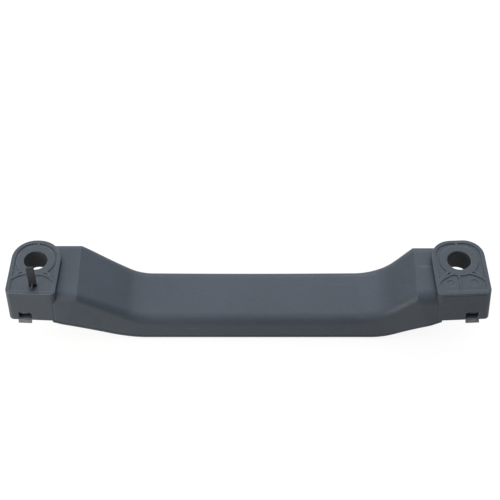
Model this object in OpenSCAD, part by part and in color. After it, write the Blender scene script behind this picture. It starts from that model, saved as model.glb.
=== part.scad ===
// Bow-shaped interior pull handle of a car door.
// X runs along the grip, +Z points out of the mounting faces towards the door,
// and the origin lies on the mounting plane, midway between the two bores.

/* [Fixing points] */
// Distance between the two bore centres
bore_pitch = 248; // [240:1:260]
// Bore radius through sleeve and mounting face
bore_r = 7; // [5:0.5:7]
// Depth of the bore, from the mounting face to the screw pocket
bore_depth = 15; // [12:0.5:16]

/* [Feet] */
// Width of the left mounting foot
left_foot_w = 28.8; // [28:0.2:31]
// Width of the right mounting foot
right_foot_w = 31.2; // [29:0.2:32]
// From the bore centre to the far edge of a foot
foot_far = 15.2; // [14:0.2:16]
// From the bore centre to the near edge of a foot
foot_near = 25.1; // [24:0.2:26]
// Height of a foot, from the mounting face to its front rim
foot_h = 24.8; // [24:0.2:25]
// Toe-in of each foot, in degrees
foot_toe = 2.9; // [0:0.1:4]
// Height of the locating blade over the mounting face
blade_h = 16.3; // [8:0.5:20]

/* [Grip] */
// Half the length of the grip skin between the feet
grip_half = 114.5; // [114:0.5:115]
// Drop from the mounting plane to the back of the grip's ends
end_back = 3.75; // [3:0.25:5]
// Drop from the mounting plane to the front of the grip's ends
end_front = 29.2; // [28.8:0.2:30]
// Drop from the mounting plane to the back of the middle of the grip
mid_back = 27.1; // [24.5:0.2:27.5]
// Drop from the mounting plane to the front of the middle of the grip
mid_front = 47.2; // [46:0.2:49]
// Wall thickness of the grip body
skin = 2.5; // [2.2:0.1:2.8]

/* [Core] */
// Thickness of the steel beam
beam_t = 2.5; // [2:0.1:3]
// Width of the steel beam
beam_w = 20; // [18:1:22]

/* [Hidden] */

slate = [0.34, 0.37, 0.41];
graphite = [0.25, 0.27, 0.29];
steel = [0.60, 0.61, 0.63];
$fn = 48;
fit = 0.05;
gap = 0.1;

// Grip outline, seen from the side: [shoulder x, back corner x, back fillet radius,
// front corner x, front fillet radius, slant of the shoulder crease, radii of the
// section's near and far corners at the end]
left_bow = [-98.6, -64.9, 24, -71.4, 58, 0.42, 4.3, 5.4];
right_bow = [98.5, 78.6, 31, 82.5, 33, -0.34, 6.5, 8.6];
// Hollow of the middle of the back, and half its length
mid_sag = 0.45;
sag_half = 62;

// Near and far faces of the grip, at its ends and in its middle
near_end = -25.5;
near_mid = -23.2;
far_end = 16.9;
far_mid = 15.9;
mid_y = (near_mid + far_mid) / 2;

// Corner radii of the grip's section in its middle, and along its front
near_back_r = 5.6;
far_back_r = 7.5;
front_r = 4;
// Radius of the section's near corner where it meets a foot
end_near_r = 7.5;
// Height of the front cover's visible edge, its lip and its floor
cover_edge = 4.5;
lip_h = 3;
lip_t = 1;
cover_t = 2.2;
arc_steps = 5;

function bow(x) = x < 0 ? left_bow : right_bow;
function smooth(t) = t <= 0 ? 0 : t >= 1 ? 1 : t * t * (3 - 2 * t);

// Height of a line from (x0, z0) down to a corner (x1, z1), flat after it, with
// an arc of radius r in the corner. d is the distance towards the middle.
function leg(x, x0, z0, x1, z1, r) =
    let (run = abs(x1 - x0), d = abs(x0) - abs(x), drop = z0 - z1, phi = atan(drop / run))
    let (t = r * tan(phi / 2), from_corner = d - run)
    d <= 0 ? z0
    : from_corner <= -t * cos(phi) ? z0 - drop * d / run
    : from_corner >= t ? z1
    : z1 + r - sqrt(r * r - pow(from_corner - t, 2));

function back_z(x) =
    let (b = bow(x))
    leg(x, b[0], -end_back, b[1], -mid_back, b[2]) - mid_sag * max(0, 1 - pow(x / sag_half, 2));
function front_z(x) =
    let (b = bow(x), side = sign(x))
    leg(x, side * grip_half, -end_front, b[3], -mid_front, b[4]);
function part_z(x) = front_z(x) + cover_edge;

// How far the section at x, at height z, has gone from the crease to the middle
function taper(x, z) =
    let (b = bow(x), crease = b[0] + (z + end_back) * b[5])
    let (d = (abs(crease) - abs(x)) / (abs(b[0]) - abs(b[1])))
    d <= 0 ? 0 : d >= 1.3 ? 1 : 1 - pow(1 - d / 1.3, 1.6);
function near_y(x, z) = near_end + (near_mid - near_end) * taper(x, z);
function far_y(x, z) = far_end + (far_mid - far_end) * smooth(taper(x, z));
function near_r(x) =
    let (b = bow(x), r = b[6], flat = (abs(x) - abs(b[0])) / (grip_half - abs(b[0])))
    flat > 0 ? r + (end_near_r - r) * flat
    : r + (near_back_r - r) * smooth(taper(x, -end_back));
function far_r(x) = let (r = bow(x)[7]) r + (far_back_r - r) * smooth(taper(x, -end_back));

// Stations along the grip: close together on the legs, wide apart on the straight
leg_steps = 15;
end_steps = 9;
left_flat = -54;
right_flat = 64;
stations = concat(
    [for (i = [0 : end_steps - 1]) -grip_half + (left_bow[0] + grip_half) * i / end_steps],
    [for (i = [0 : leg_steps - 1]) left_bow[0] + (left_flat - left_bow[0]) * i / leg_steps],
    [for (i = [0 : 3]) left_flat + (right_flat - left_flat) * i / 4],
    [for (i = [0 : leg_steps - 1]) right_flat + (right_bow[0] - right_flat) * i / leg_steps],
    [for (i = [0 : end_steps]) right_bow[0] + (grip_half - right_bow[0]) * i / end_steps]);

// One corner of a section: an arc of radius r whose centre is inset c from both faces
function near_arc(x, z, c, r, a0, a1) =
    [for (i = [0 : arc_steps])
        let (a = a0 + (a1 - a0) * i / arc_steps, pz = z + r * sin(a))
        [x, near_y(x, pz) + c + r * cos(a), pz]];
function far_arc(x, z, c, r, a0, a1) =
    [for (i = [0 : arc_steps])
        let (a = a0 + (a1 - a0) * i / arc_steps, pz = z + r * sin(a))
        [x, far_y(x, pz) - c + r * cos(a), pz]];
function near_point(x, z, inset) = [x, near_y(x, z) + inset, z];
function far_point(x, z, inset) = [x, far_y(x, z) - inset, z];

function body_ring(x) =
    let (zb = back_z(x), zp = part_z(x), rn = near_r(x), rf = far_r(x))
    concat(
        [near_point(x, zp, 0)],
        near_arc(x, zb - rn, rn, rn, 180, 90),
        far_arc(x, zb - rf, rf, rf, 90, 0),
        [far_point(x, zp, 0), far_point(x, zp, skin)],
        far_arc(x, zb - rf, rf, rf - skin, 0, 90),
        near_arc(x, zb - rn, rn, rn - skin, 90, 180),
        [near_point(x, zp, skin)]);

function cover_ring(x) =
    let (zf = front_z(x), zp = part_z(x), edge = zp - gap, lip = skin + 3 * gap)
    concat(
        [far_point(x, zf + cover_t, lip + lip_t), far_point(x, zp + lip_h, lip + lip_t),
         far_point(x, zp + lip_h, lip), far_point(x, edge, lip), far_point(x, edge, 0)],
        far_arc(x, zf + front_r, front_r, front_r, 360, 270),
        near_arc(x, zf + front_r, front_r, front_r, 270, 180),
        [near_point(x, edge, 0), near_point(x, edge, lip), near_point(x, zp + lip_h, lip),
         near_point(x, zp + lip_h, lip + lip_t), near_point(x, zf + cover_t, lip + lip_t)]);

// Wall that closes the grip's end, halfway into its skin
function end_wall_ring(x) =
    let (zb = back_z(x), rn = near_r(x), rf = far_r(x), inset = skin / 2)
    concat(
        [near_point(x, -foot_h, inset)],
        near_arc(x, zb - rn, rn, rn - inset, 180, 90),
        far_arc(x, zb - rf, rf, rf - inset, 90, 0),
        [far_point(x, -foot_h, inset)]);
end_wall_t = 3;
end_wall_x = grip_half - 0.4;
end_walls = [for (x = [-end_wall_x, end_wall_x - end_wall_t])
    [end_wall_ring(x), end_wall_ring(x + end_wall_t)]];

// A closed skin through rings of points, with flat ends
module loft(rings) {
    n = len(rings[0]);
    m = len(rings);
    points = [for (ring = rings) for (p = ring) p];
    sides = [for (i = [0 : m - 2]) for (j = [0 : n - 1])
        let (k = (j + 1) % n, a = i * n)
        for (f = [[a + j, a + k, a + n + k], [a + j, a + n + k, a + n + j]]) f];
    first = [for (j = [n - 1 : -1 : 0]) j];
    last = [for (j = [0 : n - 1]) (m - 1) * n + j];
    polyhedron(points, concat([first], sides, [last]), convexity = 8);
}

// Screws that hold beam, foot and body together
screw_x = 104;
screw_dy = 6.5;
screw_r = 2;
screw_head_r = 4;
screw_head_h = 2.4;
root_top = -9.5;
root_bottom = -20.5;
beam_end_top = root_bottom - gap;
beam_mid_top = -35.7;
pillar_r = 4;
pillar_top = -end_back - skin / 2;
screw_tip = -6.4;

module screw_places() {
    for (dy = [-screw_dy, screw_dy])
        translate([screw_x, mid_y + dy, 0]) children();
}

module both_ends() {
    let ($foot_w = right_foot_w, $far_r = right_far_r) children();
    mirror([1, 0, 0]) let ($foot_w = left_foot_w, $far_r = left_far_r) children();
}

// The mounting foot's outline about its bore, with its own +X pointing outboard
left_far_r = 13.8;
right_far_r = 12;
foot_near_r = 3;
// How far the outer wall of each foot flares out by its front rim
left_flare = 0.5;
right_flare = 1.4;
corner_steps = 10;
module foot_outline(inset = 0) {
    half = $foot_w / 2 - inset;
    far_r = $far_r - inset;
    near_r = max(foot_near_r - inset, 0.8);
    top = foot_far - inset;
    bottom = -foot_near + inset;
    for (side = [-1, 1]) {
        translate([side * (half - far_r), top - far_r]) circle(r = far_r);
        translate([side * (half - near_r), bottom + near_r]) circle(r = near_r);
    }
    translate([-half + far_r, 0]) square([2 * (half - far_r), top]);
    translate([-half, bottom + near_r]) square([2 * half, top - far_r - bottom - near_r]);
    translate([-half + near_r, bottom]) square([2 * (half - near_r), 2 * near_r]);
}

// The same outline as a ring of points at height z, its outer wall moved out by flare
function foot_ring(flare, z) =
    let (far_y0 = foot_far - $far_r, near_y0 = foot_near_r - foot_near)
    let (corners = [[1, far_y0, $far_r, 0], [-1, far_y0, $far_r, 90],
                    [-1, near_y0, foot_near_r, 180], [1, near_y0, foot_near_r, 270]])
    [for (c = corners) for (i = [0 : corner_steps])
        let (a = c[3] + 90 * i / corner_steps, shift = c[0] > 0 ? flare : 0)
        [c[0] * ($foot_w / 2 - c[2]) + c[2] * cos(a) + shift, c[1] + c[2] * sin(a), z]];

// Places a foot's own frame at the right-hand bore
module at_foot() {
    translate([bore_pitch / 2, 0, 0]) rotate(foot_toe) children();
}

module slab(z0, z1) {
    translate([0, 0, z0]) linear_extrude(z1 - z0) children();
}

rim_w = 2.2;
near_rim_w = 2.5;
face_ring_r = 11.3;
boss_r = 10.8;
face_depth = 0.55;
plate_t = 3.5;
foot_wall = 2.5;
rib_t = 1.2;
arch_r = 18;
arch_y = -27.3;

// Raised pattern of the mounting face: ring, arch and diagonal ribs
module face_ribs(centre_rib) {
    circle(r = face_ring_r);
    translate([0, arch_y]) difference() {
        circle(r = arch_r + rib_t / 2);
        circle(r = arch_r - rib_t / 2);
    }
    for (side = [-1, 1])
        rotate(side * 42) translate([-rib_t / 2, -foot_near]) square([rib_t, foot_near]);
    translate([-rib_t / 2, 0]) square([rib_t, foot_far]);
    if (centre_rib) translate([-1.8 - rib_t / 2, -foot_near]) square([rib_t, foot_near]);
}

// The diagonal ribs stop at the arch
module face_recess(centre_rib) {
    difference() {
        intersection() {
            foot_outline(rim_w);
            translate([-$foot_w, -foot_near + near_rim_w])
                square([2 * $foot_w, foot_near + foot_far]);
        }
        difference() {
            face_ribs(centre_rib);
            intersection() {
                translate([0, arch_y]) circle(r = arch_r - rib_t / 2);
                for (side = [-1, 1])
                    translate([side * $foot_w / 2, -foot_near])
                        square([$foot_w - 3.4 * rib_t, foot_near], center = true);
            }
        }
    }
}

// Where the window and the hook behind it sit across each foot
left_window_u = 4.8;
left_hook_u = 5.8;
right_window_u = 6.4;
right_hook_u = 7.4;
window_w = 7.6;
window_z = [-23.4, -17.9];
notch_w = 16;
notch_z = -18.5;
blade_u = -1.1;
blade_v = -18.5;
blade_w = 4.5;
blade_t = 1.3;
blade_root = -8;
// Round marks pressed in the lower panels of the face that has the centre rib
mark_u = 6.9;
mark_v = -16.5;
mark_r = 2.3;
mark_depth = 0.3;
// Groove under the near rim: how far it runs, its height, size and depth
left_groove = [-13, -9];
right_groove = [-12.4, 12.4];
groove_z = -2.3;
groove_h = 0.5;
groove_depth = 0.4;
sleeve_t = 1;
sleeve_top = -1.3;

// Screw pocket and coring, open to the front
module foot_pocket(window_u) {
    slab(-foot_h - 1, -bore_depth) foot_outline(foot_wall);
    slab(-bore_depth - 1, -plate_t) difference() {
        foot_outline(foot_wall);
        circle(r = boss_r);
        for (a = [0, 90, 180, 270])
            rotate(a) translate([-rib_t / 2, 0]) square([rib_t, 2 * foot_near]);
        translate([blade_u - blade_w / 2 - 2, blade_v - 2.6]) square([blade_w + 4, 5.2]);
    }
    translate([-notch_w / 2, 0, -foot_h - 1])
        cube([notch_w, 2 * foot_far, notch_z + foot_h + 1]);
    translate([window_u - window_w / 2, -foot_near - 1, window_z[0]])
        cube([window_w, foot_wall + 3, window_z[1] - window_z[0]]);
}

// Root that plugs into the end of the grip
module foot_root() {
    root_w = beam_w + 4;
    difference() {
        translate([grip_half - 17, mid_y - root_w / 2, root_bottom])
            cube([14.5, root_w, root_top - root_bottom]);
        screw_places() slab(root_bottom - 1, root_top + 1) circle(r = screw_r + fit);
    }
}

module foot(centre_rib, has_blade, groove, flare, window_u) {
    difference() {
        at_foot() loft([foot_ring(0, 0), foot_ring(flare, -foot_h)]);
        at_foot() {
            foot_pocket(window_u);
            slab(-face_depth, 1) face_recess(centre_rib);
            if (centre_rib) for (side = [-1, 1])
                translate([side * mark_u, mark_v]) slab(-face_depth - mark_depth, 0) circle(r = mark_r);
            slab(-bore_depth - 1, 1) circle(r = bore_r);
            slab(-bore_depth - 1, sleeve_top) circle(r = bore_r + sleeve_t + fit);
            translate([groove[0], -foot_near - 1, groove_z])
                cube([groove[1] - groove[0], 1 + groove_depth, groove_h]);
            if (has_blade) translate([blade_u - blade_w / 2 - fit, blade_v - blade_t / 2 - fit, blade_root - gap])
                cube([blade_w + 2 * fit, blade_t + 2 * fit, -blade_root + 1]);
        }
    }
    foot_root();
}

module left_foot() {
    color(slate) mirror([1, 0, 0])
        let ($foot_w = left_foot_w, $far_r = left_far_r) foot(false, true, left_groove, left_flare, left_window_u);
}

module right_foot() {
    color(slate)
        let ($foot_w = right_foot_w, $far_r = right_far_r) foot(true, false, right_groove, right_flare, right_window_u);
}

// A skin through rings with its walls, brought to its length, less the given space
// at both ends
module grip_skin(rings, walls = []) {
    resize([2 * grip_half, 0, 0]) difference() {
        union() {
            loft(rings);
            for (wall = walls) loft(wall);
        }
        both_ends() children();
    }
}

// What a foot takes out of the grip's end
module foot_space() {
    at_foot() slab(-foot_h - gap, 2) foot_outline(-gap);
}

module grip_body() {
    color(slate) {
        grip_skin([for (x = stations) body_ring(x)], end_walls) foot_space();
        both_ends() screw_places() difference() {
            slab(root_top + gap, pillar_top) circle(r = pillar_r);
            slab(root_top, screw_tip + gap) circle(r = screw_r + fit);
        }
    }
}

// Posts of the front cover and the push nuts on them
post_xs = [-46, -12, 22, 56];
post_r = 2;
post_seat_r = 4;
post_top = -33.2;
// Beyond here the front cover runs on under the feet, without its lip
cover_step_x = 107.5;
cover_floor = -mid_front + cover_t;

module post_places() {
    for (x = post_xs) translate([x, mid_y, 0]) children();
}

module front_cover() {
    color(slate) {
        grip_skin([for (x = stations) cover_ring(x)])
            translate([cover_step_x, near_end - 1, -foot_h - gap])
                cube([grip_half, far_end - near_end + 2, lip_h + cover_edge]);
        post_places() {
            slab(cover_floor - cover_t / 2, beam_mid_top - beam_t - gap)
                circle(r = post_seat_r);
            slab(cover_floor - cover_t / 2, post_top) circle(r = post_r);
        }
    }
}

module cover_push_nuts() {
    color(steel) post_places() slab(beam_mid_top + gap, beam_mid_top + gap + 0.7) difference() {
        circle(r = 4.6);
        circle(r = post_r + fit);
    }
}

// The beam follows the bow, from foot to foot
beam_flat_left = -62;
beam_flat_right = 70;
beam_knee = 97;
module core_beam() {
    reach = grip_half - 7;
    top_line = [[-reach, beam_end_top], [-beam_knee, beam_end_top], [beam_flat_left, beam_mid_top],
                [beam_flat_right, beam_mid_top], [beam_knee, beam_end_top], [reach, beam_end_top]];
    bottom_line = [for (i = [len(top_line) - 1 : -1 : 0]) top_line[i] - [0, beam_t]];
    color(steel) difference() {
        translate([0, mid_y + beam_w / 2, 0]) rotate([90, 0, 0])
            linear_extrude(beam_w) polygon(concat(top_line, bottom_line));
        both_ends() screw_places()
            slab(beam_end_top - 2 * beam_t, root_top) circle(r = screw_r + fit);
        post_places()
            slab(beam_mid_top - 2 * beam_t, beam_mid_top + 1) circle(r = post_r + fit);
    }
}

// Spacers that carry the grip's back on the beam
spacer_xs = [-29, 5, 39];
module beam_spacers() {
    bottom = beam_mid_top + gap;
    top = -mid_back - mid_sag - skin - gap;
    color(graphite) for (x = spacer_xs) translate([x, mid_y, 0]) {
        slab(bottom, bottom + 2) square([14, beam_w - 2], center = true);
        slab(top - 2, top) square([14, beam_w - 2], center = true);
        slab(bottom, top) square([2, beam_w - 2], center = true);
    }
}

module bore_sleeve() {
    at_foot() slab(-bore_depth, sleeve_top - fit) difference() {
        circle(r = bore_r + sleeve_t);
        circle(r = bore_r);
    }
}

module left_bore_sleeve() {
    color(graphite) mirror([1, 0, 0]) bore_sleeve();
}

module right_bore_sleeve() {
    color(graphite) bore_sleeve();
}

// Spring blade behind the near wall, with a kicked-out lip for the screw cover
hook_w = 8;
hook_t = 0.7;
hook_tip = -28;
module cover_hook(hook_u) {
    inner = -foot_near + foot_wall + gap;
    lip_v = -foot_near - 0.1;
    outline = [[inner, -15.5], [inner, hook_tip + 2.7], [lip_v, hook_tip],
               [lip_v + hook_t, hook_tip - hook_t], [inner + hook_t, hook_tip + 2.4],
               [inner + hook_t, -15.5]];
    at_foot() translate([hook_u, 0, 0]) {
        translate([hook_w / 2, 0, 0]) rotate([90, 0, -90])
            linear_extrude(hook_w) polygon([for (p = outline) [-p[0], p[1]]]);
        translate([-2, inner - 1.4, -20.4]) cube([4, 1.8, hook_t]);
    }
}

module left_cover_hook() {
    color(steel) mirror([1, 0, 0]) cover_hook(left_hook_u);
}

module right_cover_hook() {
    color(steel) cover_hook(right_hook_u);
}

// Blade that locates the left foot in the door, with a gusset in front of it
module locating_blade() {
    tip = 1;
    color(graphite) mirror([1, 0, 0]) at_foot() translate([blade_u, blade_v, 0]) {
        translate([0, blade_t / 2, 0]) rotate([90, 0, 0]) linear_extrude(blade_t)
            polygon([[-blade_w / 2, blade_root], [blade_w / 2, blade_root],
                     [blade_w / 2, blade_h - tip], [blade_w / 2 - tip / 2, blade_h],
                     [-blade_w / 2 + tip / 2, blade_h], [-blade_w / 2, blade_h - tip]]);
        translate([-0.5, 0, 0]) rotate([90, 0, 90]) linear_extrude(1)
            polygon([[0, -face_depth + fit], [-3.9, -face_depth + fit], [-3.9, 0], [0, 3]]);
    }
}

module beam_screws() {
    head_top = beam_end_top - beam_t - gap;
    screw_places() {
        slab(head_top - screw_head_h, head_top) difference() {
            circle(r = screw_head_r);
            square([1.2, 1.2], center = true);
        }
        slab(head_top - screw_head_h + 1.2, head_top) circle(r = screw_head_r);
        slab(head_top - 1, screw_tip) circle(r = screw_r);
    }
}

module left_beam_screws() {
    color(steel) mirror([1, 0, 0]) beam_screws();
}

module right_beam_screws() {
    color(steel) beam_screws();
}

grip_body();
front_cover();
core_beam();
left_foot();
right_foot();
left_bore_sleeve();
right_bore_sleeve();
left_cover_hook();
right_cover_hook();
locating_blade();
left_beam_screws();
right_beam_screws();
cover_push_nuts();
beam_spacers();
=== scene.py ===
import math

import bmesh
import bpy
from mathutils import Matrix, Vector


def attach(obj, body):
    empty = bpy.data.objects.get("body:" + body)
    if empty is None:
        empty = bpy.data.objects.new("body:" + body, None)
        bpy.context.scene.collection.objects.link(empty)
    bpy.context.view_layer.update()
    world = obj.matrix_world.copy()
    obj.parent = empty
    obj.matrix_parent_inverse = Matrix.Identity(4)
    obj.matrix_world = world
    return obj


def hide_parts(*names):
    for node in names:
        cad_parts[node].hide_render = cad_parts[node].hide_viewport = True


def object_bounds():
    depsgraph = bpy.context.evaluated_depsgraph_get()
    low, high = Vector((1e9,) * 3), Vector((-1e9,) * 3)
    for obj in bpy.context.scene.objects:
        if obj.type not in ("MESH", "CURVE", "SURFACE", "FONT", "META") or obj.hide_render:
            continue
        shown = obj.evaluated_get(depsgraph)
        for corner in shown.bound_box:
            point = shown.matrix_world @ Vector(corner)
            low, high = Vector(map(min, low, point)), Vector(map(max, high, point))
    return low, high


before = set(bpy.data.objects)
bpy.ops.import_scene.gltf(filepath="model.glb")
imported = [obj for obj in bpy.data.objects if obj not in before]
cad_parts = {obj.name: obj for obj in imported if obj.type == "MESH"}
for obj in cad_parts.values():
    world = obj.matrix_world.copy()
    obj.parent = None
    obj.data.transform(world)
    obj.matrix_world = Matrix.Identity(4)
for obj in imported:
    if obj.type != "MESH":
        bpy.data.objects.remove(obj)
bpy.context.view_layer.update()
MM = 0.001

# ---------------------------------------------------------------- grip's shape
# The same curves as the CAD source, in millimetres.
BORE_PITCH = 248.0
# Each foot: side, width, radius of its far corners
FEET = ((-1, 28.8, 13.8), (1, 31.2, 12.0))
FOOT_FAR, FOOT_NEAR, FOOT_H = 15.2, 25.1, 24.8
FOOT_TOE = math.radians(2.9)
FOOT_NEAR_R = 3.0
GRIP_HALF = 114.5
END_BACK, END_FRONT, MID_BACK, MID_FRONT = 3.75, 29.2, 27.1, 47.2
MID_SAG, SAG_HALF = 0.45, 62.0
SKIN, GAP = 2.5, 0.1
# Shoulder x, back corner x and fillet, front corner x and fillet, slant of the crease,
# radii of the section's near and far corners at the end
LEFT_BOW = (-98.6, -64.9, 24.0, -71.4, 58.0, 0.42, 4.3, 5.4)
RIGHT_BOW = (98.5, 78.6, 31.0, 82.5, 33.0, -0.34, 6.5, 8.6)
NEAR_END, NEAR_MID, FAR_END, FAR_MID = -25.5, -23.2, 16.9, 15.9
NEAR_BACK_R, FAR_BACK_R, FRONT_R, END_NEAR_R = 5.6, 7.5, 4.0, 7.5
COVER_EDGE, LIP_H, LIP_T, COVER_T = 4.5, 3.0, 1.0, 2.2
# Chamfer along the seam between the two shells
SEAM = 0.35
# Wall that closes each end of the grip: its thickness, and how far in it stands
END_WALL_T, END_WALL_IN = 3.0, 0.4
# Beyond here the front cover runs on under the feet, without its lip
COVER_STEP_X = 107.5
# Gap that shows between a foot and the grip around it
FOOT_GAP = 0.03
# Where the straight middle gives way to the legs' close stations
LEFT_FLAT, RIGHT_FLAT = -50.0, 60.0


def bow(x):
    return LEFT_BOW if x < 0 else RIGHT_BOW


def smooth(t):
    t = min(max(t, 0.0), 1.0)
    return t * t * (3 - 2 * t)


def leg(x, x0, z0, x1, z1, r):
    run, d, drop = abs(x1 - x0), abs(x0) - abs(x), z0 - z1
    phi = math.atan(drop / run)
    t, c = r * math.tan(phi / 2), d - run
    if d <= 0:
        return z0
    if c <= -t * math.cos(phi):
        return z0 - drop * d / run
    if c >= t:
        return z1
    return z1 + r - math.sqrt(r * r - (c - t) ** 2)


def back_z(x):
    b = bow(x)
    sag = MID_SAG * max(0.0, 1 - (x / SAG_HALF) ** 2)
    return leg(x, b[0], -END_BACK, b[1], -MID_BACK, b[2]) - sag


def front_z(x):
    b = bow(x)
    return leg(x, math.copysign(GRIP_HALF, x), -END_FRONT, b[3], -MID_FRONT, b[4])


def part_z(x):
    return front_z(x) + COVER_EDGE


def taper(x, z):
    b = bow(x)
    crease = b[0] + (z + END_BACK) * b[5]
    d = (abs(crease) - abs(x)) / (abs(b[0]) - abs(b[1]))
    if d <= 0:
        return 0.0
    return 1.0 if d >= 1.3 else 1 - (1 - d / 1.3) ** 1.6


def near_y(x, z):
    return NEAR_END + (NEAR_MID - NEAR_END) * taper(x, z)


def far_y(x, z):
    return FAR_END + (FAR_MID - FAR_END) * smooth(taper(x, z))


def near_r(x):
    b = bow(x)
    flat = (abs(x) - abs(b[0])) / (GRIP_HALF - abs(b[0]))
    if flat > 0:
        return b[6] + (END_NEAR_R - b[6]) * flat
    return b[6] + (NEAR_BACK_R - b[6]) * smooth(taper(x, -END_BACK))


def far_r(x):
    r = bow(x)[7]
    return r + (FAR_BACK_R - r) * smooth(taper(x, -END_BACK))


def arc(x, z, face, sign, c, r, a0, a1, steps):
    pts = []
    for i in range(steps + 1):
        a = math.radians(a0 + (a1 - a0) * i / steps)
        pz = z + r * math.sin(a)
        pts.append((x, face(x, pz) + sign * c + r * math.cos(a), pz))
    return pts


def rise(x, face, inset, z0, z1, steps):
    """Points up or down a side face, without the first and last."""
    zs = [z0 + (z1 - z0) * i / steps for i in range(1, steps)]
    return [(x, face(x, z) + inset, z) for z in zs]


def body_ring(x, steps=10):
    zb, zp, rn, rf = back_z(x), part_z(x), near_r(x), far_r(x)
    near_top, far_top = zb - rn, zb - rf
    return (
        [(x, near_y(x, zp) + SEAM, zp), (x, near_y(x, zp + SEAM), zp + SEAM)]
        + rise(x, near_y, 0, zp + SEAM, near_top, 6)
        + arc(x, near_top, near_y, 1, rn, rn, 180, 90, steps)
        + arc(x, far_top, far_y, -1, rf, rf, 90, 0, steps)
        + rise(x, far_y, 0, far_top, zp + SEAM, 4)
        + [(x, far_y(x, zp + SEAM), zp + SEAM), (x, far_y(x, zp) - SEAM, zp)]
        + [(x, far_y(x, zp) - SKIN, zp)]
        + arc(x, far_top, far_y, -1, rf, rf - SKIN, 0, 90, 4)
        + arc(x, near_top, near_y, 1, rn, rn - SKIN, 90, 180, 4)
        + [(x, near_y(x, zp) + SKIN, zp)]
    )


def cover_ring(x, steps=10):
    zf, zp = front_z(x), part_z(x)
    edge, lip = zp - GAP, SKIN + 3 * GAP
    inner = lip + LIP_T
    return (
        [(x, far_y(x, zf + COVER_T) - inner, zf + COVER_T)]
        + [(x, far_y(x, zp + LIP_H) - inner, zp + LIP_H)]
        + [(x, far_y(x, zp + LIP_H) - lip, zp + LIP_H)]
        + [(x, far_y(x, edge) - lip, edge), (x, far_y(x, edge) - SEAM, edge)]
        + [(x, far_y(x, edge - SEAM), edge - SEAM)]
        + arc(x, zf + FRONT_R, far_y, -1, FRONT_R, FRONT_R, 360, 270, steps)
        + arc(x, zf + FRONT_R, near_y, 1, FRONT_R, FRONT_R, 270, 180, steps)
        + [(x, near_y(x, edge - SEAM), edge - SEAM)]
        + [(x, near_y(x, edge) + SEAM, edge), (x, near_y(x, edge) + lip, edge)]
        + [(x, near_y(x, zp + LIP_H) + lip, zp + LIP_H)]
        + [(x, near_y(x, zp + LIP_H) + inner, zp + LIP_H)]
        + [(x, near_y(x, zf + COVER_T) + inner, zf + COVER_T)]
    )


def end_wall_ring(x):
    """Outline of the wall that closes the grip's end, halfway into its skin."""
    zb, rn, rf, inset = back_z(x), near_r(x), far_r(x), SKIN / 2
    return (
        [(x, near_y(x, -FOOT_H) + inset, -FOOT_H)]
        + arc(x, zb - rn, near_y, 1, rn, rn - inset, 180, 90, 8)
        + arc(x, zb - rf, far_y, -1, rf, rf - inset, 90, 0, 8)
        + [(x, far_y(x, -FOOT_H) - inset, -FOOT_H)]
    )


def spread(a, b, step):
    """Even stations from a up to b, about a step apart, without b."""
    n = max(1, round(abs(b - a) / step))
    return [a + (b - a) * i / n for i in range(n)]


STATIONS = (
    spread(-GRIP_HALF, LEFT_BOW[0], 1.2)
    + spread(LEFT_BOW[0], LEFT_FLAT, 0.9)
    + spread(LEFT_FLAT, RIGHT_FLAT, 4.0)
    + spread(RIGHT_FLAT, RIGHT_BOW[0], 0.9)
    + spread(RIGHT_BOW[0], GRIP_HALF, 1.2)
    + [GRIP_HALF]
)


# ---------------------------------------------------------------- mesh helpers
def mesh_object(name, bm):
    mesh = bpy.data.meshes.new(name)
    bmesh.ops.recalc_face_normals(bm, faces=bm.faces)
    bm.to_mesh(mesh)
    bm.free()
    obj = bpy.data.objects.new(name, mesh)
    bpy.context.scene.collection.objects.link(obj)
    return obj


def loft(name, rings):
    """A closed skin through rings of points, with flat ends."""
    bm = bmesh.new()
    rows = [[bm.verts.new(Vector(p) * MM) for p in ring] for ring in rings]
    n = len(rows[0])
    for a, b in zip(rows, rows[1:]):
        for j in range(n):
            k = (j + 1) % n
            bm.faces.new((a[j], a[k], b[k], b[j]))
    bm.faces.new(rows[0][::-1])
    bm.faces.new(rows[-1])
    return mesh_object(name, bm)


def foot_outline(width, far_r, inset, steps=12):
    """The foot's plan about its bore, +X outboard."""
    half = width / 2 - inset
    far_r, near_r = far_r - inset, max(FOOT_NEAR_R - inset, 0.8)
    top, bottom = FOOT_FAR - inset, -FOOT_NEAR + inset
    corners = (
        (half - far_r, top - far_r, far_r, 0),
        (-half + far_r, top - far_r, far_r, 90),
        (-half + near_r, bottom + near_r, near_r, 180),
        (half - near_r, bottom + near_r, near_r, 270),
    )
    pts = []
    for cx, cy, r, a0 in corners:
        for i in range(steps + 1):
            a = math.radians(a0 + 90 * i / steps)
            pts.append((cx + r * math.cos(a), cy + r * math.sin(a)))
    return pts


def foot_place(side, u, v):
    x = BORE_PITCH / 2 + u * math.cos(FOOT_TOE) - v * math.sin(FOOT_TOE)
    return side * x, u * math.sin(FOOT_TOE) + v * math.cos(FOOT_TOE)


def prism(name, outline, z0, z1):
    bm = bmesh.new()
    low = [bm.verts.new((x * MM, y * MM, z0 * MM)) for x, y in outline]
    high = [bm.verts.new((x * MM, y * MM, z1 * MM)) for x, y in outline]
    n = len(low)
    for i in range(n):
        bm.faces.new((low[i], low[(i + 1) % n], high[(i + 1) % n], high[i]))
    bm.faces.new(low[::-1])
    bm.faces.new(high)
    return mesh_object(name, bm)


def apply_modifiers(obj):
    """Replace the object's mesh by what its modifiers make of it."""
    graph = bpy.context.evaluated_depsgraph_get()
    mesh = bpy.data.meshes.new_from_object(obj.evaluated_get(graph))
    obj.modifiers.clear()
    old, obj.data = obj.data, mesh
    bpy.data.meshes.remove(old)


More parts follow.
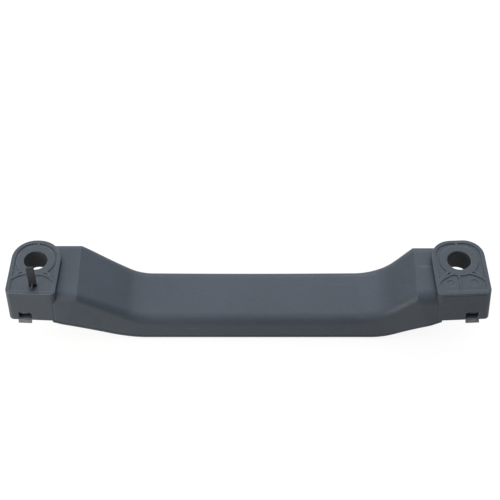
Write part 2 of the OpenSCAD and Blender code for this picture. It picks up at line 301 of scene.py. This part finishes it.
def boolean(obj, other, operation):
    m = obj.modifiers.new("cut", "BOOLEAN")
    m.operation, m.solver, m.object = operation, "EXACT", other
    apply_modifiers(obj)
    bpy.data.objects.remove(other)


def shade(obj, angle=30.0):
    """Smooth faces that break only at edges sharper than angle."""
    bm = bmesh.new()
    bm.from_mesh(obj.data)
    limit = math.radians(angle)
    for f in bm.faces:
        f.smooth = True
    for e in bm.edges:
        e.smooth = not (len(e.link_faces) == 2 and e.calc_face_angle(0) > limit)
    bm.to_mesh(obj.data)
    bm.free()
    m = obj.modifiers.new("normals", "WEIGHTED_NORMAL")
    m.keep_sharp = True


def tidy(bm, limit=0.5):
    """Join the points of a triangulated mesh and merge its flat faces."""
    bmesh.ops.remove_doubles(bm, verts=bm.verts, dist=2e-6)
    bmesh.ops.dissolve_limit(
        bm, angle_limit=math.radians(limit), verts=bm.verts, edges=bm.edges
    )


def bevelled(name, node, width, segments=2, angle=35.0):
    """A copy of a CAD node, its sharp edges rounded off where both faces have room."""
    bm = bmesh.new()
    bm.from_mesh(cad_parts[node].data)
    tidy(bm)
    limit, thin = math.radians(angle), 2.2 * width * MM
    edges = [
        e
        for e in bm.edges
        if e.is_manifold
        and e.calc_face_angle(0) > limit
        and min(f.calc_area() for f in e.link_faces) > thin * e.calc_length()
    ]
    bmesh.ops.bevel(
        bm,
        geom=edges,
        offset=width * MM,
        offset_type="OFFSET",
        segments=segments,
        profile=0.5,
        affect="EDGES",
        clamp_overlap=True,
        miter_outer="ARC",
    )
    obj = mesh_object(name, bm)
    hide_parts(node)
    return obj


# ---------------------------------------------------------------- materials
def node_tree(name):
    mat = bpy.data.materials.new(name)
    mat.use_nodes = True
    return mat, mat.node_tree.nodes, mat.node_tree.links


def noise(nodes, links, coords, scale, detail=3.0, rough=0.5):
    n = nodes.new("ShaderNodeTexNoise")
    n.inputs["Scale"].default_value = scale
    n.inputs["Detail"].default_value = detail
    n.inputs["Roughness"].default_value = rough
    links.new(coords, n.inputs["Vector"])
    return n.outputs["Fac"]


def ramp(nodes, links, value, lo, hi, a=0.0, b=1.0):
    n = nodes.new("ShaderNodeMapRange")
    n.inputs["From Min"].default_value = lo
    n.inputs["From Max"].default_value = hi
    n.inputs["To Min"].default_value = a
    n.inputs["To Max"].default_value = b
    links.new(value, n.inputs["Value"])
    return n.outputs["Result"]


def math_node(nodes, links, op, a, b=None):
    n = nodes.new("ShaderNodeMath")
    n.operation = op
    for i, v in enumerate((a, b)):
        if v is None:
            continue
        if isinstance(v, (int, float)):
            n.inputs[i].default_value = v
        else:
            links.new(v, n.inputs[i])
    return n.outputs[0]


def mix_colour(nodes, links, fac, a, b):
    n = nodes.new("ShaderNodeMix")
    n.data_type = "RGBA"
    if isinstance(fac, (int, float)):
        n.inputs[0].default_value = fac
    else:
        links.new(fac, n.inputs[0])
    for i, v in ((6, a), (7, b)):
        if isinstance(v, tuple):
            n.inputs[i].default_value = (*v, 1.0)
        else:
            links.new(v, n.inputs[i])
    return n.outputs[2]


def plastic(name, base, worn_and_highlight, rough=0.5, grain=0.05, grain_scale=2600.0, edge=0.6,
            specular=0.19, scratches=0.5, edge_r=0.35):
    """Moulded plastic: spark-eroded grain, faint cloudiness, scuffs, lighter edges that are partly
    wear and partly a painted highlight, and painted shade in hollows.
    """
    mat, nodes, links = node_tree(name)
    bsdf = nodes["Principled BSDF"]
    bsdf.inputs["Specular IOR Level"].default_value = specular
    coords = nodes.new("ShaderNodeTexCoord").outputs["Object"]

    cloud = noise(nodes, links, coords, 28.0, 4.0, 0.55)
    fleck = noise(nodes, links, coords, 900.0, 2.0, 0.6)
    shade_a = tuple(c * 0.93 for c in base)
    shade_b = tuple(c * 1.07 for c in base)
    colour = mix_colour(nodes, links, ramp(nodes, links, cloud, 0.3, 0.7), shade_a, shade_b)
    colour = mix_colour(
        nodes, links, ramp(nodes, links, fleck, 0.55, 0.8, 0.0, 0.16), colour, worn_and_highlight
    )

    # fine scratches: stretched noise, thresholded to thin lines
    stretch = nodes.new("ShaderNodeMapping")
    stretch.inputs["Rotation"].default_value = (0.0, 0.0, 0.5)
    stretch.inputs["Scale"].default_value = (0.07, 1.6, 1.0)
    links.new(coords, stretch.inputs["Vector"])
    lines = noise(nodes, links, stretch.outputs["Vector"], 420.0, 2.0, 0.4)
    lines = ramp(nodes, links, lines, 0.67, 0.74)
    where = ramp(nodes, links, noise(nodes, links, coords, 35.0, 2.0), 0.5, 0.62)
    scratch = math_node(nodes, links, "MULTIPLY", lines, where)
    scratch = math_node(nodes, links, "MULTIPLY", scratch, scratches)

    # lighter edges, partly wear and partly a painted highlight: where the rounded normal parts from
    # the true one
    soft = nodes.new("ShaderNodeBevel")
    soft.samples = 6
    soft.inputs["Radius"].default_value = edge_r * MM
    geometry = nodes.new("ShaderNodeNewGeometry")
    dot = nodes.new("ShaderNodeVectorMath")
    dot.operation = "DOT_PRODUCT"
    links.new(soft.outputs["Normal"], dot.inputs[0])
    links.new(geometry.outputs["Normal"], dot.inputs[1])
    edge_wear_and_highlight = ramp(nodes, links, dot.outputs["Value"], 0.995, 0.86)
    broken = ramp(nodes, links, noise(nodes, links, coords, 330.0, 3.0), 0.35, 0.6, 0.35, 1.0)
    edge_wear_and_highlight = math_node(nodes, links, "MULTIPLY", edge_wear_and_highlight, broken)
    edge_wear_and_highlight = math_node(nodes, links, "MULTIPLY", edge_wear_and_highlight, edge)

    # hollows stay unrubbed and get painted shade: the colour darkens where the AO node finds the
    # surface enclosed
    hollow = nodes.new("ShaderNodeAmbientOcclusion")
    hollow.samples = 6
    hollow.inputs["Distance"].default_value = 1.2 * MM
    open_air = ramp(nodes, links, hollow.outputs["AO"], 0.6, 0.9)
    edge_wear_and_highlight = math_node(nodes, links, "MULTIPLY", edge_wear_and_highlight, open_air)
    # painted shade: a darker copy of the base colour, mixed in where the AO is low
    painted_hollow_shade = tuple(c * 0.62 for c in base)
    unshaded = ramp(nodes, links, hollow.outputs["AO"], 0.3, 0.85)
    colour = mix_colour(nodes, links, unshaded, painted_hollow_shade, colour)
    pale = math_node(nodes, links, "MULTIPLY", scratch, 0.5)
    # the mask lightens scratches and edges; the edge part is partly a painted highlight
    mask = math_node(nodes, links, "MAXIMUM", edge_wear_and_highlight, pale)
    colour = mix_colour(nodes, links, mask, colour, worn_and_highlight)
    links.new(colour, bsdf.inputs["Base Color"])

    patch = noise(nodes, links, coords, 60.0, 3.0)
    roughness = ramp(nodes, links, patch, 0.3, 0.7, rough - 0.05, rough + 0.05)
    polish = math_node(nodes, links, "MULTIPLY", edge_wear_and_highlight, 0.08)
    roughness = math_node(nodes, links, "SUBTRACT", roughness, polish)
    links.new(roughness, bsdf.inputs["Roughness"])

    bump = nodes.new("ShaderNodeBump")
    bump.inputs["Strength"].default_value = grain
    bump.inputs["Distance"].default_value = 0.0002
    fine = noise(nodes, links, coords, grain_scale, 2.0, 0.6)
    wavy = noise(nodes, links, coords, 90.0, 1.0, 0.3)
    height = math_node(nodes, links, "ADD", fine, math_node(nodes, links, "MULTIPLY", wavy, 2.0))
    height = math_node(nodes, links, "SUBTRACT", height, scratch)
    links.new(height, bump.inputs["Height"])
    links.new(soft.outputs["Normal"], bump.inputs["Normal"])
    links.new(bump.outputs["Normal"], bsdf.inputs["Normal"])
    return mat


def metal(name, base, dark, rough=0.35, brush=(1.0, 40.0, 40.0), grain=0.15):
    """Rolled or plated steel with a brushed direction, darker stains and rubbed edges."""
    mat, nodes, links = node_tree(name)
    bsdf = nodes["Principled BSDF"]
    bsdf.inputs["Metallic"].default_value = 1.0
    coords = nodes.new("ShaderNodeTexCoord").outputs["Object"]
    stretch = nodes.new("ShaderNodeMapping")
    stretch.inputs["Scale"].default_value = brush
    links.new(coords, stretch.inputs["Vector"])
    streak = noise(nodes, links, stretch.outputs["Vector"], 160.0, 3.0)
    stain = noise(nodes, links, coords, 120.0, 4.0, 0.6)
    colour = mix_colour(nodes, links, ramp(nodes, links, stain, 0.35, 0.7), dark, base)
    bright = tuple(min(1.0, c * 1.25) for c in base)
    shine = ramp(nodes, links, streak, 0.5, 0.75, 0.0, 0.4)
    colour = mix_colour(nodes, links, shine, colour, bright)
    links.new(colour, bsdf.inputs["Base Color"])
    links.new(ramp(nodes, links, stain, 0.3, 0.7, rough + 0.1, rough - 0.06), bsdf.inputs["Roughness"])
    bump = nodes.new("ShaderNodeBump")
    bump.inputs["Strength"].default_value = grain
    bump.inputs["Distance"].default_value = 0.0001
    links.new(streak, bump.inputs["Height"])
    soft = nodes.new("ShaderNodeBevel")
    soft.samples = 4
    soft.inputs["Radius"].default_value = 0.2 * MM
    links.new(soft.outputs["Normal"], bump.inputs["Normal"])
    links.new(bump.outputs["Normal"], bsdf.inputs["Normal"])
    return mat


GRIP = plastic("grip_plastic", (0.0293, 0.0374, 0.0485), (0.10, 0.11, 0.125), rough=0.52)
COVER = plastic("cover_plastic", (0.0290, 0.0358, 0.0460), (0.10, 0.11, 0.12), rough=0.53)
# the foot's stronger, wider edge lightening is partly a painted highlight along its rims and partly
# wear
FOOT = plastic("foot_plastic", (0.0290, 0.0366, 0.0468), (0.13, 0.14, 0.155), rough=0.5,
               edge=0.9, edge_r=0.6)
DARK = plastic("insert_plastic", (0.026, 0.032, 0.036), (0.05, 0.06, 0.07), rough=0.6, specular=0.15)
BLADE = plastic("blade_plastic", (0.010, 0.012, 0.016), (0.10, 0.11, 0.12), rough=0.5, specular=0.2)
BEAM = metal("beam_steel", (0.42, 0.42, 0.43), (0.26, 0.26, 0.27))
SPRING = metal("spring_steel", (0.15, 0.16, 0.18), (0.08, 0.085, 0.10), rough=0.4)
SCREW = metal("screw_steel", (0.52, 0.52, 0.52), (0.34, 0.33, 0.32), rough=0.3)


def finish_piece(obj, mat, slot, angle=30.0):
    obj.data.materials.clear()
    obj.data.materials.append(mat)
    shade(obj, angle)
    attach(obj, "root")
    return obj


# ---------------------------------------------------------------- grip shells
def foot_spaces():
    """What each foot takes out of the grip's end, up to 2 mm over the mounting face."""
    for side, width, far in FEET:
        plan = [foot_place(side, u, v) for u, v in foot_outline(width, far, -FOOT_GAP, 16)]
        yield prism("cutter", plan, -FOOT_H - FOOT_GAP, 2.0)


grip = loft("grip_shell", [body_ring(x) for x in STATIONS])
for x in (-GRIP_HALF + END_WALL_IN, GRIP_HALF - END_WALL_IN - END_WALL_T):
    wall = loft("end_wall", [end_wall_ring(x), end_wall_ring(x + END_WALL_T)])
    boolean(grip, wall, "UNION")
for cutter in foot_spaces():
    boolean(grip, cutter, "DIFFERENCE")
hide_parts("grip_body")
finish_piece(grip, GRIP, "grip_shell", 25.0)

cover = loft("front_shell", [cover_ring(x) for x in STATIONS])
for side in (-1, 1):
    # a box well past the cover's end, sides and lip
    x0, x1 = sorted((side * COVER_STEP_X, side * (GRIP_HALF + 5.5)))
    y0, y1 = NEAR_END - 1.5, FAR_END + 1.6
    plan = [(x0, y0), (x1, y0), (x1, y1), (x0, y1)]
    boolean(cover, prism("cutter", plan, -FOOT_H - GAP, -15.0), "DIFFERENCE")
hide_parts("front_cover")
finish_piece(cover, COVER, "cover_shell", 25.0)

# ---------------------------------------------------------------- other pieces
# Name, CAD node, bevel in mm, material, slot
PIECES = (
    ("foot_left", "left_foot", 0.3, FOOT, "foot_plastic"),
    ("foot_right", "right_foot", 0.3, FOOT, "foot_plastic"),
    ("sleeve_left", "left_bore_sleeve", 0.2, DARK, "insert_plastic"),
    ("sleeve_right", "right_bore_sleeve", 0.2, DARK, "insert_plastic"),
    ("hook_left", "left_cover_hook", 0.12, SPRING, "spring_steel"),
    ("hook_right", "right_cover_hook", 0.12, SPRING, "spring_steel"),
    ("blade_tab", "locating_blade", 0.2, BLADE, "blade_plastic"),
    ("beam", "core_beam", 0.3, BEAM, "beam_steel"),
    ("screws_left", "left_beam_screws", 0.25, SCREW, "screw_steel"),
    ("screws_right", "right_beam_screws", 0.25, SCREW, "screw_steel"),
    ("push_nuts", "cover_push_nuts", 0.15, SCREW, "screw_steel"),
    ("spacers", "beam_spacers", 0.25, DARK, "insert_plastic"),
)
for name, node, width, mat, slot in PIECES:
    finish_piece(bevelled(name, node, width), mat, slot)

# ---------------------------------------------------------------- floor, light, camera
FLOOR_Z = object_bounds()[0].z
bm = bmesh.new()
bmesh.ops.create_grid(bm, x_segments=2, y_segments=2, size=3.0)
floor = mesh_object("floor", bm)
floor.location.z = FLOOR_Z
mat, nodes, links = node_tree("floor_white")
bsdf = nodes["Principled BSDF"]
bsdf.inputs["Base Color"].default_value = (0.08, 0.08, 0.08, 1.0)
bsdf.inputs["Roughness"].default_value = 0.9
bsdf.inputs["Specular IOR Level"].default_value = 0.0
bsdf.inputs["Emission Color"].default_value = (1.0, 1.0, 1.0, 1.0)
bsdf.inputs["Emission Strength"].default_value = 0.9
floor.data.materials.append(mat)

world = bpy.data.worlds.new("studio")
bpy.context.scene.world = world
world.use_nodes = True
world.node_tree.nodes["Background"].inputs["Color"].default_value = (1.0, 1.0, 1.0, 1.0)
world.node_tree.nodes["Background"].inputs["Strength"].default_value = 0.22


def area_light(name, location, target, size, power, colour):
    data = bpy.data.lights.new(name, "AREA")
    data.shape = "RECTANGLE"
    data.size, data.size_y = size
    data.energy, data.color = power, colour
    obj = bpy.data.objects.new(name, data)
    bpy.context.scene.collection.objects.link(obj)
    obj.location = location
    obj.rotation_euler = (Vector(target) - Vector(location)).to_track_quat("-Z", "Y").to_euler()
    return obj


COOL, WARM = (0.965, 1.0, 1.035), (1.0, 0.92, 0.83)
area_light("top_soft", (0.15, 0.5, 1.3), (0.15, 0.5, 0), (4.0, 2.2), 58.0, COOL)
area_light("back_strip", (0.0, 1.1, 0.55), (0, 0, 0), (1.6, 0.4), 12.0, COOL)
area_light("front_soft", (0.2, -0.9, 1.1), (0, 0, 0), (1.6, 0.9), 5.0, WARM)
area_light("left_front", (-0.42, -0.2, 0.06), (-0.1, 0, -0.02), (0.3, 0.3), 3.0, WARM)

camera = bpy.data.objects.new("camera", bpy.data.cameras.new("camera"))
bpy.context.scene.collection.objects.link(camera)
camera.data.lens, camera.data.sensor_width = 100.0, 36.0
camera.data.clip_start, camera.data.clip_end = 0.01, 20.0
camera.location = (0.001523, -0.515025, 0.629737)
camera.rotation_euler = (math.radians(39.7), 0.0, 0.0)
bpy.context.scene.camera = camera
bpy.context.scene.view_settings.view_transform = "Standard"
